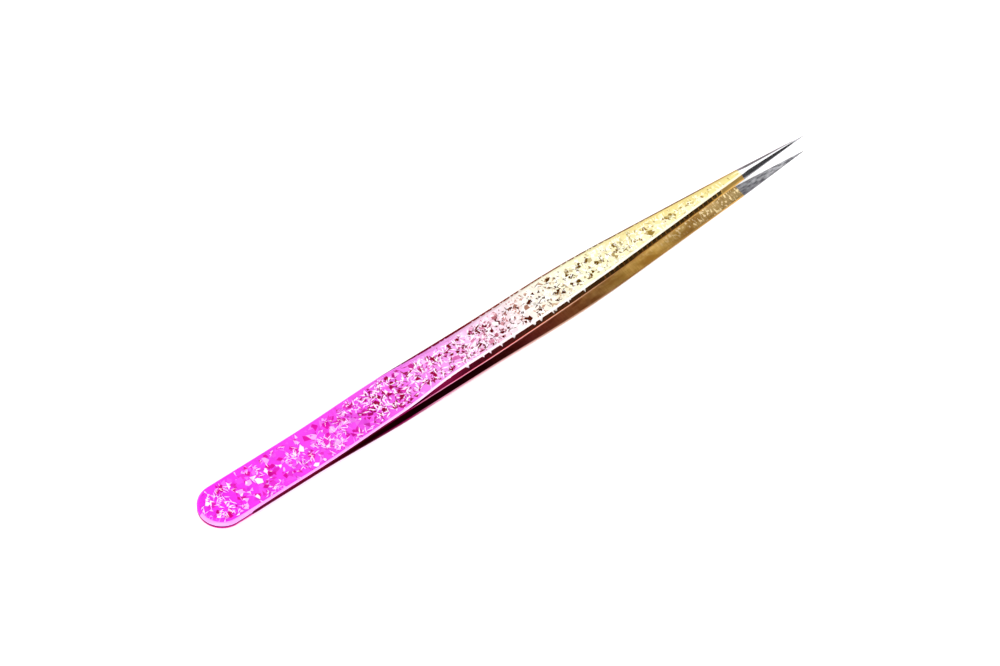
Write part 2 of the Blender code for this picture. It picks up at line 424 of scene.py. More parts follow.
# %% Keep a mesh and mark its sharp edges
def keep_mesh(bm, name):
    """Turn a finished bmesh into an object at the origin and report on it."""
    open_edges = sum(1 for e in bm.edges if len(e.link_faces) != 2)
    mesh = bpy.data.meshes.new(name)
    bm.to_mesh(mesh)
    bm.free()
    piece = bpy.data.objects.new(name, mesh)
    bpy.context.scene.collection.objects.link(piece)
    print(name, len(mesh.polygons), "faces,", open_edges, "open edges")
    return piece


def shade_by_angle(piece, degrees):
    """Smooth shading with a sharp edge wherever two faces turn by more than this."""
    bm = bmesh.new()
    bm.from_mesh(piece.data)
    for face in bm.faces:
        face.smooth = True
    for e in bm.edges:
        e.smooth = e.calc_face_angle(0.0) < math.radians(degrees)
    bm.to_mesh(piece.data)
    bm.free()


# %% Make both strips
SHARP_ANGLE = 22.0
strips = {}
for side, name in ((1.0, "upper_strip"), (-1.0, "lower_strip")):
    strips[name] = build_strip(name, side)
    shade_by_angle(strips[name], SHARP_ANGLE)

# %% [markdown]
# ## The crushed foil
#
# The coating is a foil that was crumpled, pressed flat and bonded on, so it is made of flat
# shards two or three millimetres across, with fine crinkles where they meet. A bump map
# would blur under raking light, and so the shards are real facets. Points are scattered
# thinly inside each shard and closely along its borders, joined into triangles, and lifted:
# a shard lies in its own slightly tilted plane, and the crinkles between them jump about.

# %% How finely the foil is crushed
CRUSH_START, CRUSH_LENGTH = 30.0 * MM, 40.0 * MM


def crushed(x):
    """How finely the foil is crushed: 0 at the heel, 1 from the shoulder forward."""
    return ease((x - CRUSH_START) / CRUSH_LENGTH)


print("crushed at the shoulder: %.2f" % crushed(SHOULDER))

# %% The crumpled field
RIM = 0.36 * MM
FIELD_GAP = 0.1 * MM                # left between the field and the rim


def foil_reach(x):
    """Half the width of the crumpled field at x."""
    inset = RIM + EDGE_BREAK
    if x < HEEL_RADIUS:
        radius = HEEL_RADIUS - inset
        away = HEEL_RADIUS - x
        return math.sqrt(max(0.0, radius * radius - away * away)) - FIELD_GAP
    if x > FOIL_END - RIM - FIELD_GAP:
        return 0.0
    return outer_half_width(x) - RIM - FIELD_GAP


print("field %.2f mm wide at the shoulder" % (2 * foil_reach(SHOULDER) / MM))

# %% [markdown]
# ### Scattering points
#
# Shards and crinkles both need points that look thrown at random but never crowd. The
# simplest way is to throw a point and keep it only if no kept point is too near. Asking
# every kept point each time would be slow, so they are sorted into square cells, and only
# the cells around a throw are searched.

# %% Scatter points
CELL = 1.0 * MM


def cell_of(x, y):
    """The square cell that a point lies in."""
    return int(x // CELL), int(y // CELL)


def crowded(grid, x, y, reach):
    """Whether a kept point lies within reach of (x, y)."""
    cells = int(reach / CELL) + 1
    cx, cy = cell_of(x, y)
    for i in range(cx - cells, cx + cells + 1):
        for j in range(cy - cells, cy + cells + 1):
            for px, py in grid.get((i, j), ()):
                if (px - x) ** 2 + (py - y) ** 2 < reach * reach:
                    return True
    return False


def scatter(chance, spacing_at, tries, fixed=()):
    """Random points in the field, no two closer than the spacing asked for there."""
    grid = {}
    for x, y in fixed:
        grid.setdefault(cell_of(x, y), []).append((x, y))
    points = []
    for _ in range(tries):
        x = chance.uniform(0.0, FOIL_END)
        y = chance.uniform(-HEEL_RADIUS, HEEL_RADIUS)
        if abs(y) > foil_reach(x):
            continue
        if not crowded(grid, x, y, spacing_at(x, y)):
            points.append((x, y))
            grid.setdefault(cell_of(x, y), []).append((x, y))
    return points


print("cells of %.1f mm" % (CELL / MM))

# %% [markdown]
# ### Shards
#
# Each shard is a flat piece round its own middle, tilted a little at random, like a pane in
# a broken windscreen. A point belongs to the shard whose middle is nearest, and half the
# difference to the second nearest tells how far it is from the crack between the two.

# %% The shards' middles and planes
SHARD_REAR, SHARD_FRONT = 2.3 * MM, 1.25 * MM
SHARD_LIFT = 0.07 * MM
SHARD_TILT = 0.10
SHARD_STAGGER = 0.3                 # share of the lift that sets shards higher or lower
SHARD_TRIES = 9000
COLUMN = 3.0 * MM                   # slices along the strip that speed up the search
FAR_AWAY = 1.0


class Shards:
    """The shards' middles and planes, with a quick way to find which one a point is in."""

    def __init__(self, chance):
        self.middles = scatter(
            chance, lambda x, y: mix(SHARD_REAR, SHARD_FRONT, crushed(x)), SHARD_TRIES)
        self.planes = []
        for _ in self.middles:
            turn = chance.uniform(0.0, 2.0 * math.pi)
            tilt = SHARD_TILT * math.sqrt(chance.random())
            lift = chance.uniform(-SHARD_STAGGER, SHARD_STAGGER) * SHARD_LIFT
            self.planes.append((tilt * math.cos(turn), tilt * math.sin(turn), lift,
                                chance.random()))
        self.columns = {}
        for i, (x, y) in enumerate(self.middles):
            self.columns.setdefault(int(x // COLUMN), []).append(i)

    def find(self, x, y):
        """Nearest shard and how far the point is from its border."""
        column = int(x // COLUMN)
        best, first, second = 0, FAR_AWAY, FAR_AWAY
        for c in (column - 1, column, column + 1):
            for i in self.columns.get(c, ()):
                away = math.hypot(self.middles[i][0] - x, self.middles[i][1] - y)
                if away < first:
                    best, first, second = i, away, first
                elif away < second:
                    second = away
        return best, (second - first) / 2

    def height(self, x, y):
        """Height of the shard's plane over the foil's mean surface."""
        i, _ = self.find(x, y)
        gx, gy, lift, _ = self.planes[i]
        rise = lift + gx * (x - self.middles[i][0]) + gy * (y - self.middles[i][1])
        return max(-SHARD_LIFT, min(SHARD_LIFT, rise))


print("shards %.2f mm apart at the heel, %.2f at the needle" % (
    SHARD_REAR / MM, SHARD_FRONT / MM))

# %% [markdown]
# ### Creases and flecks
#
# Crushing leaves two kinds of damage over the shards. Creases are long and thin, and most carry a
# painted white glint; flecks are small angular bits, and most are painted dark as shade. Both
# could be painted with a texture, but then they would lie flat. Here each one is a small polygon
# that becomes real edges in the mesh, so it also breaks the reflections. They gather in clumps,
# and are thickest over the middle of the tool.

# %% How the damage changes along the foil
# Shares of the damage painted dark as shade: at the rear, over the middle, and the part lost
# towards the points.
SHADED_REAR, SHADED_MIDDLE, SHADED_LOSS = 0.42, 0.82, 0.30
CALM_DENSITY, CRUSHED_DENSITY = 0.80, 0.55
CLUMP_SIZE = 3.2 * MM
CLUMP_LAYER = 3.7                   # which slice of the noise the clumps are read from
CLUMP_CONTRAST, CLUMP_LEVEL = 1.8, 0.50
MIDDLE_SHARE = 0.7


def shaded_share(x):
    """How much of the damage is painted dark as shade; the middle of the arm has the most."""
    rising = ease((x - 28 * MM) / (12 * MM))
    falling = ease((x - 78 * MM) / (18 * MM))
    return mix(SHADED_REAR, SHADED_MIDDLE, rising) - SHADED_LOSS * falling


def middle_share(x):
    """1 over the middle of the tool, where the foil is creased hardest, and 0 past its ends."""
    return ease((x - 32 * MM) / (8 * MM)) * (1.0 - ease((x - 60 * MM) / (14 * MM)))


def crease_density(x, y):
    """Creases gather in clumps; they are sparse over the calm parts of the rear."""
    clump = noise.noise(Vector((x / CLUMP_SIZE, y / CLUMP_SIZE, CLUMP_LAYER)))
    calm = CALM_DENSITY * ease(clump * CLUMP_CONTRAST + CLUMP_LEVEL)
    return mix(mix(calm, CRUSHED_DENSITY, 0.6 * crushed(x)), 1.0,
               MIDDLE_SHARE * middle_share(x))


# The share printed is the share of damage painted dark as shade.
for mark in (10, 50, 80, 110):
    print("at %3d mm: %.2f folded under" % (mark, shaded_share(mark * MM)))

# %% Creases
CREASE_LENGTH = (0.4 * MM, 1.7 * MM)
CREASE_WIDTH = (0.11 * MM, 0.25 * MM)
CREASE_WIDENING = 1.6               # over the middle of the tool
CREASE_LEAN = 0.6                   # one flank of a crease is narrower than the other
# Creases take this share of the chance of painted shade; the rest carry a painted white glint.
SHADED_CREASES = 0.4                  # share of the folded damage that is creases
# Tones of a painted white glint and of painted dark shade.
GLINT_TONE, SHADE_TONE = 1.0, 0.0


def crease_marks(chance, count):
    """Long thin creases, each a quad, mostly with a painted white glint."""
    marks = []
    for _ in range(count):
        x = chance.uniform(0.0, FOIL_END)
        y = chance.uniform(-HEEL_RADIUS, HEEL_RADIUS)
        turn = chance.uniform(0.0, math.pi)
        along = Vector((math.cos(turn), math.sin(turn))) * chance.uniform(*CREASE_LENGTH) / 2
        width = chance.uniform(*CREASE_WIDTH) * mix(1.0, CREASE_WIDENING, middle_share(x))
        across = Vector((-math.sin(turn), math.cos(turn))) * width / 2
        if chance.random() > crease_density(x, y):
            continue
        middle = Vector((x, y))
        corners = [middle - along, middle + across, middle + along,
                   middle - across * CREASE_LEAN]
        dark = chance.random() < SHADED_CREASES * shaded_share(x)
        marks.append((corners, SHADE_TONE if dark else GLINT_TONE))
    return marks


print(len(crease_marks(random.Random(0), 100)), "of 100 creases kept")

# %% Flecks
FLECK_SIZE = (0.18 * MM, 0.60 * MM)
FLECK_REAR, FLECK_FRONT = 1.25, 0.9
FLECK_SIDES = (3, 3, 4, 5)
FLECK_REACH = (0.6, 1.5)            # corners lie between these shares of the size
FLECK_WANDER = 0.25                 # how far a corner strays, in shares of a side
# Flecks take this share of the chance of painted shade; those painted as shade take a shade tone,
# the rest a paler glint tone.
SHADED_FLECKS = 1.1                   # share of the folded damage that is flecks
SHADE_TONES = (SHADE_TONE, SHADE_TONE, 0.10, 0.18, 0.24)
GLINT_TONES = (GLINT_TONE, 0.80, 0.72, 0.70)


def fleck_marks(chance, count):
    """Compact angular flecks, mostly painted dark as shade."""
    marks = []
    for _ in range(count):
        x = chance.uniform(0.0, FOIL_END)
        y = chance.uniform(-HEEL_RADIUS, HEEL_RADIUS)
        size = chance.uniform(*FLECK_SIZE) * mix(FLECK_REAR, FLECK_FRONT, crushed(x))
        turn = chance.uniform(0.0, 2.0 * math.pi)
        sides = chance.choice(FLECK_SIDES)
        corners = []
        for i in range(sides):
            step = i + chance.uniform(-FLECK_WANDER, FLECK_WANDER)
            a = turn + 2.0 * math.pi * step / sides
            reach = size * chance.uniform(*FLECK_REACH)
            corners.append(Vector((x + reach * math.cos(a), y + reach * math.sin(a))))
        dark = chance.choice(SHADE_TONES)
        pale = chance.choice(GLINT_TONES)
        marks.append((corners, dark if chance.random() < SHADED_FLECKS * shaded_share(x) else pale))
    return marks


print("flecks %.2f to %.2f mm" % (FLECK_SIZE[0] / MM, FLECK_SIZE[1] / MM))

# %% [markdown]
# ### The field's outline
#
# The crumpled field stops a little short of the foil's edge, where the smooth rim begins. Its
# outline is the strip's own outline drawn in, so foil and steel stay parallel. Every point on
# it remembers the station it came from and the side it is on, which the rim needs later.

# %% Outline of the field
EDGE_STEP = 0.25 * MM
FRONT_COUNT = 4                     # steps across the foil's front end
edge_count = int((FOIL_END - HEEL_RADIUS) / EDGE_STEP)
foil_stations = [x for x in stations if x < HEEL_RADIUS]
foil_stations += [HEEL_RADIUS + i * (FOIL_END - HEEL_RADIUS) / edge_count
                  for i in range(edge_count + 1)]


def foil_rim(station, hand, inset, rise, front):
    """A point of the foil's rim: plan outline drawn in, at a height over the mean surface."""
    px, py = outline_point(station, inset + bevel(station))
    if front or px > FOIL_END - inset:
        px = FOIL_END - inset
    return Vector((px, hand * py, foil_top(px) + rise))


def field_outline():
    """The outline in plan, and for each point its station, hand and place across the front."""
    right = [foil_rim(x, 1.0, RIM, 0.0, False) for x in foil_stations]
    left = [foil_rim(x, -1.0, RIM, 0.0, False) for x in foil_stations]
    front = []
    for i in range(1, FRONT_COUNT):
        y = mix(right[-1].y, left[-1].y, i / FRONT_COUNT)
        front.append(Vector((FOIL_END - RIM, y, foil_top(FOIL_END))))
    codes = [(x, 1.0, None) for x in foil_stations]
    codes += [(FOIL_END, 0.0, 1.0 - 2.0 * i / FRONT_COUNT) for i in range(1, FRONT_COUNT)]
    codes += [(x, -1.0, None) for x in reversed(foil_stations)]
    return [v.xy for v in right + front + left[::-1]], codes


print(len(foil_stations), "stations along the foil")

# %% [markdown]
# ### Triangles that respect the damage
#
# The field needs triangles whose edges run along its outline, along every crease and round
# every fleck, with random points in between. That is a constrained Delaunay triangulation,
# and mathutils has one. The points lie close together near the cracks, where the foil
# crinkles, and far apart inside a shard, which stays flat.

# %% Triangulate the field
CRINKLE_ZONE = 0.42 * MM            # how far a crack disturbs the foil on each side
CRINKLE_STEP, SHARD_STEP = 0.36 * MM, 0.90 * MM
CRINKLE_TRIES = 50000
SAME_POINT = 1e-7


def triangulate(chance, shards, outline, marks):
    """Flat points and triangles of the field, and which source each point came from."""
    def spacing(x, y):
        _, border = shards.find(x, y)
        return mix(CRINKLE_STEP, SHARD_STEP, ease(border / CRINKLE_ZONE))

    points, lines = [], []
    for loop in [outline] + [corners for corners, _ in marks]:
        first = len(points)
        points += loop
        lines += [(first + i, first + (i + 1) % len(loop)) for i in range(len(loop))]
    fixed = [(p.x, p.y) for p in points]
    points += [Vector(p) for p in scatter(chance, spacing, CRINKLE_TRIES, fixed=fixed)]
    flat, _, triangles, sources, *_ = geometry.delaunay_2d_cdt(
        points, lines, [], 1, SAME_POINT)
    return flat, triangles, [min(found, default=len(points)) for found in sources]


print("points %.2f mm apart on a crack, %.2f inside a shard" % (
    CRINKLE_STEP / MM, SHARD_STEP / MM))

# %% [markdown]
# ### Crumpling
#
# Each point now rises to the plane of its shard, plus a small random lift that is strongest
# next to a crack. The points on the outline keep the height of the smooth rim, so that the
# two meet without a step. Their number on the outline is kept in a layer of the bmesh: layers
# have to be made before the first vertex, or the vertices made so far are lost.

# %% Crumple the field
CRINKLE_LIFT = 0.055 * MM
CRUSHED_LIFT = 0.72                 # share of the lift where the foil is finely crushed
CALM_LIFT = 0.25                    # share of the lift inside a shard


def crumple(bm, chance, shards, field, on_outline, ring_mark):
    """Raise the points onto the shards and join them with triangles."""
    flat, triangles, sources = field
    verts = []
    for p, source in zip(flat, sources):
        rise = 0.0
        if source >= on_outline:
            _, border = shards.find(p.x, p.y)
            crinkle = 1.0 - ease(border / CRINKLE_ZONE)
            rise = shards.height(p.x, p.y)
            lift = CRINKLE_LIFT * mix(1.0, CRUSHED_LIFT, crushed(p.x))
            rise += chance.uniform(-1.0, 1.0) * lift * mix(CALM_LIFT, 1.0, crinkle)
        verts.append(bm.verts.new((p.x, p.y, foil_top(p.x) + rise)))
        if source < on_outline:
            verts[-1][ring_mark] = source + 1
    for corners in triangles:
        bm.faces.new([verts[i] for i in corners])


print("crinkles rise %.3f mm" % (CRINKLE_LIFT / MM))

# %% [markdown]
# ### A tone for every facet
#
# The tone, from 0 (painted dark as shade) over 0.5 (plain colour) to 1 (painted white as a glint),
# is what the finish will read. Facets inside a shard share its tone, those near a crack get more
# of one of their own, and those under a crease or a fleck take that mark's tone. Whether a facet
# lies under a mark is asked of its middle, by counting how many sides lie to one side of it.

# %% Tone of a facet
CALM_TONE = (0.50, 0.56)            # at the rear, and where the foil is finely crushed
TONE_SPREAD = (0.14, 0.36)
OWN_TONE = (0.35, 0.9)              # weight of a facet's own tone, in a shard and on a crack
DARKISH, MILD_TONE = 0.35, 0.45


def facet_tone(chance, shards, x, y):
    """Tone of a facet without a mark."""
    shard, border = shards.find(x, y)
    crinkle = 1.0 - ease(border / CRINKLE_ZONE)
    fineness = crushed(x)
    spread = mix(*TONE_SPREAD, fineness)
    calm = mix(*CALM_TONE, fineness) + spread * (2.0 * shards.planes[shard][3] - 1.0)
    own = chance.random()
    if own < DARKISH and chance.random() > shaded_share(x):
        own = mix(MILD_TONE, 1.0 - own, fineness)
    return mix(calm, own, mix(*OWN_TONE, crinkle))


print("tones: folded %.1f, plain %.1f, cracked %.1f" % (SHADE_TONE, CALM_TONE[0], GLINT_TONE))


# %% Tone the field
def inside_polygon(x, y, corners):
    """Whether a point lies in a polygon."""
    found = False
    for i, a in enumerate(corners):
        b = corners[i - 1]
        if (a.y > y) != (b.y > y) and x < (b.x - a.x) * (y - a.y) / (b.y - a.y) + a.x:
            found = not found
    return found


def slices_of(marks):
    """The marks that reach into each slice along the strip."""
    slices = {}
    for mark in marks:
        low = min(c.x for c in mark[0])
        high = max(c.x for c in mark[0])
        for number in range(int(low // CELL), int(high // CELL) + 1):
            slices.setdefault(number, []).append(mark)
    return slices


def tone_facets(bm, chance, shards, marks, tone):
    """Give every facet of the field its tone."""
    slices = slices_of(marks)
    for face in bm.faces:
        middle = face.calc_center_median()
        face[tone] = facet_tone(chance, shards, middle.x, middle.y)
        for corners, mark_tone in slices.get(int(middle.x // CELL), ()):
            if inside_polygon(middle.x, middle.y, corners):
                face[tone] = mark_tone


# %% [markdown]
# ### The foil's edge
#
# Round the field of shards the foil is rolled over the edge of the strip, which leaves a smooth
# rim. At the heel it ends there. Forward of the grip the bevel was ground after the foil was laid,
# and tore it into short teeth that hang onto the bevel. On the upper foil the rim and teeth of the
# near side carry a painted highlight, and the lower foil's rim carries painted shade. The field's
# open border is extruded outwards and down, one layer at a time: five layers round the rim, one
# that hangs as teeth, one that wraps the heel's side, and one that turns under.

# %% Torn teeth
# Along each edge: where teeth start, are longest, start to fade and end; their longest
# reach onto the bevel; and how often there is one. The near edge is torn, the far one scored.
TEETH = {-1.0: (50 * MM, 58 * MM, 82 * MM, 92 * MM, 0.52 * MM, 0.15),
         1.0: (26 * MM, 42 * MM, 96 * MM, 112 * MM, 0.70 * MM, 0.20)}
SHORTEST_TOOTH = 0.3                # share of the longest
TOOTH_OF_BEVEL = 0.9                # a tooth stays within this share of the bevel


def tooth_length(chance, x, hand):
    """How far the torn edge hangs onto the bevel at x."""
    first, full, fade, last, longest, share = TEETH[hand]
    size = min(ease((x - first) / (full - first)), 1.0 - ease((x - fade) / (last - fade)))
    size = min(size, TOOTH_OF_BEVEL * bevel(x) / longest)
    return longest * size * chance.uniform(SHORTEST_TOOTH, 1.0) if chance.random() < share else 0.0


print("longest teeth %.2f mm near, %.2f mm far" % (TEETH[-1.0][4] / MM, TEETH[1.0][4] / MM))

# %% Where each layer of the rim runs
# Each layer: inset from the foil's edge, height over the mean surface, and kind.
RIM_LAYERS = [(inset * MM, rise * MM, "rim") for inset, rise in (
    (0.32, 0.03), (0.25, 0.03), (0.22, 0.01), (0.02, -0.15), (0.0, -0.18))]
RIM_LAYERS += [(0.0, 0.0, kind) for kind in ("torn", "wrap", "under")]
REAR_RIM = 0.62                     # the rim is this much narrower at the heel
HANG, SKIN = 0.015 * MM, 0.03 * MM  # the edge's least reach, and how thick it lies
HEEL_WRAP, WRAP_STEP = 0.34 * MM, 0.02 * MM
WRAP_FADE, WRAP_FADE_LENGTH = 5.0 * MM, 12.0 * MM
FAR_COVER = 0.40                    # share of the far bevel that stays covered
STEEPEST = 1.2                      # the edge never hangs steeper than this
UNDER_INSET = 0.03 * MM
TINY = 1e-6


def rim_offset(station, hand, tooth, layer):
    """How far a layer is drawn in, less than 0 when it reaches out, and its height."""
    inset, rise, kind = layer
    if kind == "rim":
        return inset * mix(REAR_RIM, 1.0, crushed(station)), rise
    if kind == "under":
        return UNDER_INSET, -FOIL
    steel, land, drawn = steel_section(min(station, FOIL_END - TINY))
    slope = min(STEEPEST, (steel - land) / max(drawn, TINY))
    heel_wrap = 1.0 - ease((station - WRAP_FADE) / WRAP_FADE_LENGTH)
    far_cover = FAR_COVER * (drawn - EDGE_BREAK) if hand > 0.0 else 0.0
    reach = HANG + max(tooth, far_cover) + EDGE_BREAK * heel_wrap
    height = -FOIL - FIT - reach * slope + SKIN
    if kind == "wrap":
        height -= WRAP_STEP + HEEL_WRAP * heel_wrap
    return -reach, height


print(len(RIM_LAYERS), "layers round the edge")

# %% Roll the rim
# On the upper foil the rim up to here across carries a painted highlight; the lower foil's rim
# takes a tone of painted shade.
NEAR_SIDE = 0.3 * MM                # the rim is bright up to here
FRONT_HANG = 0.02 * MM              # how far the foil's front end reaches past its edge
RIM_TONE, LOWER_RIM_SHADE = 0.5, 0.1


def roll_rim(bm, chance, side, codes, ring_mark, tone, rim_highlight_mark):
    """Extrude the field's border round the edge of the strip."""
    teeth = [tooth_length(chance, x, hand) if hand else 0.0 for x, hand, _ in codes]
    edges = [e for e in bm.edges if e.is_boundary]
    for layer in RIM_LAYERS:
        grown = bmesh.ops.extrude_edge_only(bm, edges=edges)["geom"]
        for face in [g for g in grown if isinstance(g, bmesh.types.BMFace)]:
            # Near-side rim faces of the upper foil are marked for a painted highlight; the lower
            # foil's rim faces take painted shade.
            near_side = face.calc_center_median().y < NEAR_SIDE
            face[rim_highlight_mark] = 1.0 if side > 0.0 and near_side else 0.0
            face[tone] = RIM_TONE if side > 0.0 else LOWER_RIM_SHADE
        for v in [g for g in grown if isinstance(g, bmesh.types.BMVert)]:
            number = v[ring_mark] - 1
            station, hand, across = codes[number]
            inset, height = rim_offset(station, hand, teeth[number], layer)
            if across is None:
                v.co = foil_rim(station, hand, inset, height, False)
            else:
                v.co = foil_rim(FOIL_END, across, max(inset, -FRONT_HANG), height, True)
        edges = [e for e in grown if isinstance(e, bmesh.types.BMEdge) and e.is_boundary]
    return edges


print("rim %.2f mm wide" % (RIM / MM))

# %% [markdown]
# ### Both foils
#
# A foil is now a short recipe: shards, marks, triangles, crumpling, tones, rim, and a flat
# underside filled with triangles. Each foil has a seed of its own, because no two crushed
# foils are alike, and the seed makes the same foil every time the lesson is run. The foil is
# drawn over the middle plane and moved, or mirrored, to its own side at the end, so its
# normals are worked out last.

# %% Build a foil
FLECKS, CREASES = 1080, 3400


def in_field(corners):
    """Whether a mark lies wholly in the crumpled field."""
    return all(abs(c.y) < foil_reach(c.x) for c in corners)


def build_foil(name, side, seed):
    """One arm's foil: a field of shards, its rolled rim, torn teeth and underside."""
    chance = random.Random(seed)
    shards = Shards(chance)
    outline, codes = field_outline()
    marks = [mark for mark in fleck_marks(chance, FLECKS) + crease_marks(chance, CREASES)
             if in_field(mark[0])]
    field = triangulate(chance, shards, outline, marks)
    bm = bmesh.new()
    tone = bm.faces.layers.float.new("tone")
    rim_highlight_mark = bm.faces.layers.float.new("rim")
    ring_mark = bm.verts.layers.int.new("ring")
    crumple(bm, chance, shards, field, len(outline), ring_mark)
    tone_facets(bm, chance, shards, marks, tone)
    edges = roll_rim(bm, chance, side, codes, ring_mark, tone, rim_highlight_mark)
    bmesh.ops.triangle_fill(bm, edges=edges, use_beauty=True)
    bmesh.ops.triangulate(bm, faces=[f for f in bm.faces if len(f.verts) > 3])
    for v in bm.verts:
        v.co = Vector((v.co.x - LENGTH / 2, v.co.y, MIDDLE + side * v.co.z))
    bmesh.ops.recalc_face_normals(bm, faces=bm.faces)
    print(name, len(shards.middles), "shards,", len(marks), "creases and flecks")
    return keep_mesh(bm, name)


foils = {}
for side, name, seed in ((1.0, "upper_foil", 11), (-1.0, "lower_foil", 29)):
    foils[name] = build_foil(name, side, seed)

# %% [markdown]
# ## Finishes
#
# All three finishes are bare metal with a thin colour layer, so each one is fully metallic
# and its colour sits in the reflection. The colour layer thickens steadily from the needle to
# the heel, which is what turns the gold through pink to magenta; a ramp along the strip does
# the same here. A few small helpers keep the node graphs short: each adds one node, joins it
# up and hands back its output socket.

# %% New materials and nodes
def new_material(name):
    """An empty node material with a metallic shader wired to its output."""
    made = bpy.data.materials.new(name)
    made.use_nodes = True
    shader = made.node_tree.nodes["Principled BSDF"]
    shader.inputs["Metallic"].default_value = 1.0
    return made, made.node_tree, shader


def add(tree, kind, settings=None, **links):
    """Add a node; settings go on its properties and inputs, links join sockets to inputs."""
    node = tree.nodes.new(kind)
    for key, value in (settings or {}).items():
        if hasattr(node, key):
            setattr(node, key, value)
        else:
            node.inputs[key].default_value = value
    for key, source in links.items():
        socket = node.inputs[int(key[1:])] if key[1:].isdigit() else node.inputs[key]
        tree.links.new(source, socket)
    return node


# %% Colours
def srgb(red, green, blue):
    """Linear colour from display values of 0 to 255."""
    def linear(c):
        c = c / 255.0
        return c / 12.92 if c <= 0.04045 else ((c + 0.055) / 1.055) ** 2.4
    return linear(red), linear(green), linear(blue), 1.0


def under(level, red, green, blue):
    """Linear colour that shows as the given display values under a surround of this level."""
    return tuple(c / level for c in srgb(red, green, blue)[:3]) + (1.0,)


def grey(level):
    """A neutral colour."""
    return level, level, level, 1.0


print("middle grey is %.3f" % srgb(128, 128, 128)[0])


# %% Ramps and blends
def ramp(tree, source, stops):
    """Colour ramp with the given (position, colour) stops."""
    node = add(tree, "ShaderNodeValToRGB", None, i0=source)
    elements = node.color_ramp.elements
    while len(elements) < len(stops):
        elements.new(0.5)
    for element, (position, colour) in zip(elements, stops):
        element.position = position
        element.color = colour
    return node.outputs["Color"]


def blend_colours(tree, share, first, second):
    """Colour between first and second by a socket's share."""
    node = tree.nodes.new("ShaderNodeMix")
    node.data_type = "RGBA"
    for name, value in (("Factor", share), ("A", first), ("B", second)):
        socket = [s for s in node.inputs if s.name == name and s.enabled][0]
        if isinstance(value, bpy.types.NodeSocket):
            tree.links.new(value, socket)
        else:
            socket.default_value = value
    return [s for s in node.outputs if s.enabled][0]


# %% Remap, noise and the place along the strip
def remap(tree, source, low, high, to_low=0.0, to_high=1.0):
    """Clamped linear map of a value."""
    node = add(tree, "ShaderNodeMapRange",
               {"From Min": low, "From Max": high, "To Min": to_low, "To Max": to_high},
               i0=source)
    return node.outputs[0]


def noise_value(tree, place, scale, detail=2.0, stretch=(1.0, 1.0, 1.0)):
    """Noise on the object's own coordinates, in cycles per metre."""
    scaled = add(tree, "ShaderNodeVectorMath", {"operation": "MULTIPLY"}, i0=place)
    scaled.inputs[1].default_value = stretch
    made = add(tree, "ShaderNodeTexNoise", {"Scale": scale, "Detail": detail},
               Vector=scaled.outputs[0])
    return made.outputs[0]


def along_strip(tree):
    """The object's own coordinates and a value from 0 at the heel end to 1 at the point."""
    coords = tree.nodes.new("ShaderNodeTexCoord").outputs["Object"]
    axes = add(tree, "ShaderNodeSeparateXYZ", None, i0=coords)
    return coords, remap(tree, axes.outputs["X"], -LENGTH / 2, LENGTH / 2), axes


def at(mm):
    """Position along the strip, 0 to 1, of a distance from the heel end in millimetres."""
    return mm * MM / LENGTH


def colours_along(tree, along, level, stops):
    """Ramp along the strip, from (millimetres, display colour) stops under a surround."""
    return ramp(tree, along, [(at(mm), under(level, *colour)) for mm, colour in stops])


print("the foil ends at %.3f of the length" % at(FOIL_END / MM))

# %% [markdown]
# ### Foil
#
# One shard in the foil looks much like the next in colour; what sets them apart is which way they
# face. The crinkles and marks also carry painted light and shade: some are painted white as
# glints, others dark as shade, and some a reddish half shade. So there are four ramps along the
# foil: the plain colour, the painted half shade, the painted shade and the painted highlight, and
# the facet's tone picks between them.

# %% The foil's four colours
BRIGHT = 1.3                        # the surround, over most of the sky
MATTE_BRIGHT = 1.2                  # and as a rough surface sees it
foil_finish, tree, shader = new_material("crushed_foil")
coords, along, axes = along_strip(tree)
tone = add(tree, "ShaderNodeAttribute", {"attribute_name": "tone"}).outputs["Fac"]
rim = add(tree, "ShaderNodeAttribute", {"attribute_name": "rim"}).outputs["Fac"]
body_colour = colours_along(tree, along, MATTE_BRIGHT, (
    (4, (244, 52, 240)), (30, (244, 76, 238)), (38, (242, 86, 232)), (47, (244, 126, 238)),
    (56, (248, 172, 240)), (64, (252, 214, 236)), (73, (253, 244, 234)), (84, (252, 248, 210)),
    (108, (249, 238, 172)), (119, (244, 232, 160))))
# Painted shade: the colour of facets painted dark.
shade_colour = colours_along(tree, along, MATTE_BRIGHT, (
    (4, (218, 4, 140)), (29, (232, 22, 180)), (38, (158, 0, 68)), (50, (160, 2, 60)),
    (62, (116, 4, 28)), (70, (84, 18, 8)), (80, (84, 46, 8)), (90, (124, 92, 28)),
    (101, (168, 136, 62)), (119, (178, 146, 70))))
# Painted half shade: a reddish step between the plain colour and the shade.
half_shade_colour = colours_along(tree, along, MATTE_BRIGHT, (
    (4, (236, 40, 210)), (30, (238, 60, 214)), (38, (214, 16, 146)), (46, (224, 44, 168)),
    (54, (226, 84, 178)), (62, (218, 116, 154)), (70, (200, 134, 120)), (78, (204, 170, 126)),
    (86, (200, 178, 120)), (100, (216, 194, 126)), (119, (226, 202, 122))))
# Painted highlight: the white of glints, and of the rim's painted highlight.
highlight_colour = colours_along(tree, along, 1.0, (
    (4, (253, 222, 253)), (50, (254, 236, 252)), (75, (253, 250, 248)), (119, (253, 249, 224))))
print("four ramps,", len(tree.nodes), "nodes")

# %% [markdown]
# ### From tone to colour
#
# Remap nodes turn a stretch of the tone into a share from 0 to 1, and each share blends one more
# ramp over the last. Ahead of the shoulder the far half is a deeper gold, and on the upper foil's
# near side the rim is lightened towards the highlight colour as a painted highlight.

# %% Blend the foil's colours
HALF_SHADE_FROM, HALF_SHADE_FULL, SHADE_FULL = 0.34, 0.22, 0.10
GLINT_FROM, GLINT_FULL = 0.69, 0.93
DEEP_GOLD = (238, 212, 122)
